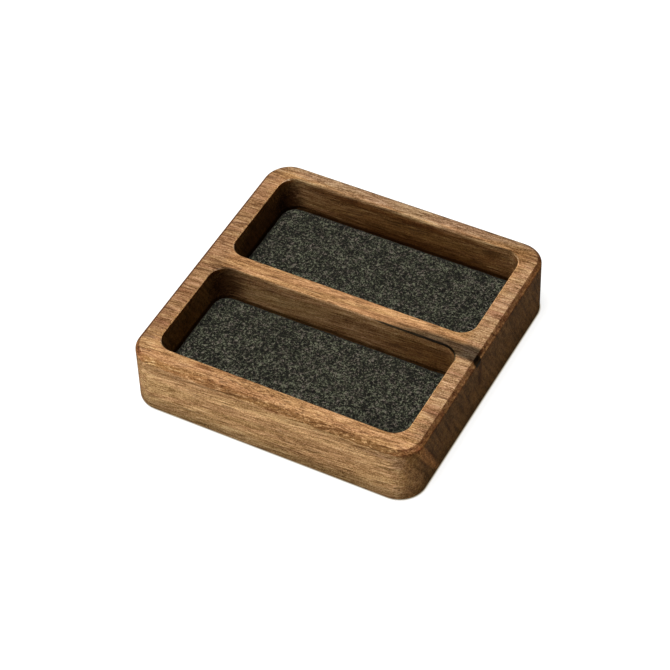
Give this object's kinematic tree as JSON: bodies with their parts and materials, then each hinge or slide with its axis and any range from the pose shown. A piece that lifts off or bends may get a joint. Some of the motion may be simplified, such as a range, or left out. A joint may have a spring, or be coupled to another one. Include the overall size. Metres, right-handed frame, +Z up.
{
  "type": "desk organizer tray",
  "caption": "Low square walnut tray with round corners and two long felt-lined pockets side by side, for small desk items, on thin round pads.",
  "frame": {"origin": "on the surface that the tray stands on, under the middle of the block", "axes": "+Z up, +X along the pockets and the grain to the right, front towards -Y"},
  "size_m": [0.112, 0.112, 0.025],
  "materials": {
    "walnut": "oiled, satin, grain along X",
    "felt": "pressed wool felt, mottled charcoal",
    "rubber": "matt black non-slip"
  },
  "bodies": {
    "root": {"tray_body": "walnut", "front_liner": "felt", "rear_liner": "felt", "pad_front_left": "rubber", "pad_front_right": "rubber", "pad_rear_left": "rubber", "pad_rear_right": "rubber"}
  },
  "joints": []
}
